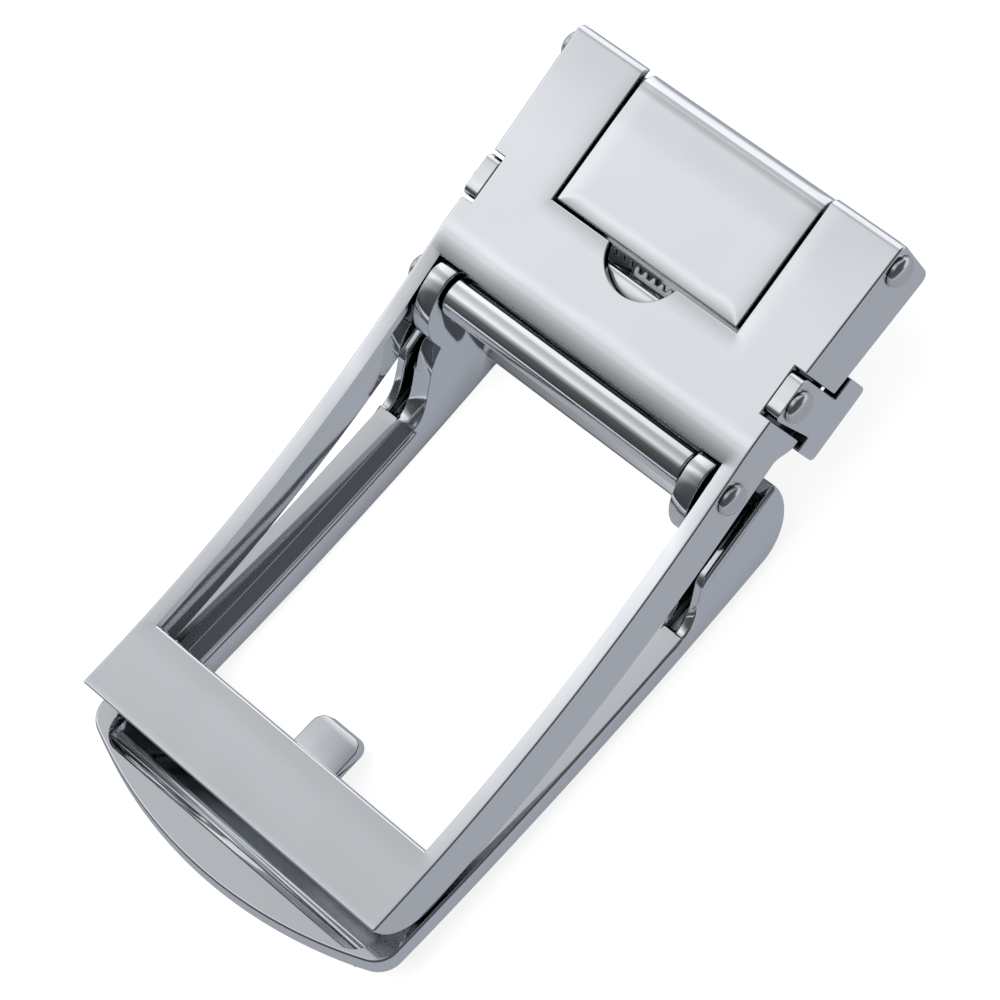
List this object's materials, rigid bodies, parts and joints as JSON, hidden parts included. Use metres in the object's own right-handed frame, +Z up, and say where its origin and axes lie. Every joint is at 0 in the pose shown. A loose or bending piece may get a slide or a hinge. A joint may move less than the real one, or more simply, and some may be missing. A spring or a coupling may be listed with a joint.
{
  "type": "ratchet belt buckle",
  "caption": "Chrome belt buckle with a stamped back bracket, hinged strap clamp, sprung release lever and hinged open front frame, lying on its face.",
  "frame": {"origin": "middle of the bounding box, on the surface that the buckle lies on", "axes": "+X along the belt towards the strap clamp, +Y across the belt, +Z up from the surface; the back plate faces up, tipped 11.8 degrees"},
  "size_m": [0.0842, 0.043, 0.0231],
  "materials": {
    "chrome_sheet": "polished chrome plate on steel sheet",
    "chrome_casting": "polished chrome plate on a zinc casting",
    "polished_steel": "polished steel pins"
  },
  "bodies": {
    "bracket_body": {"bracket": "chrome_sheet", "clamp_pin": "polished_steel", "lever_pin": "polished_steel", "hinge_rod": "polished_steel", "spacer_tube": "chrome_sheet"},
    "flap_body": {"clamp_flap": "chrome_sheet"},
    "lever_body": {"release_lever": "chrome_sheet"},
    "frame_body": {"front_frame": "chrome_casting"}
  },
  "joints": [
    {"name": "frame_hinge", "type": "hinge", "parent": "bracket_body", "child": "frame_body", "pos_m": [0.01472, 0, 0.0152], "axis": [0, 1, 0], "range_deg": [-22, 0]},
    {"name": "flap_hinge", "type": "hinge", "parent": "bracket_body", "child": "flap_body", "pos_m": [0.03954, 0, 0.02086], "axis": [0, 1, 0], "range_deg": [0, 100]},
    {"name": "lever_pivot", "type": "hinge", "parent": "bracket_body", "child": "lever_body", "pos_m": [0.02465, 0, 0.018], "axis": [0, 1, 0], "range_deg": [0, 5], "stiffness_Nm_per_rad": 0.02}
  ]
}
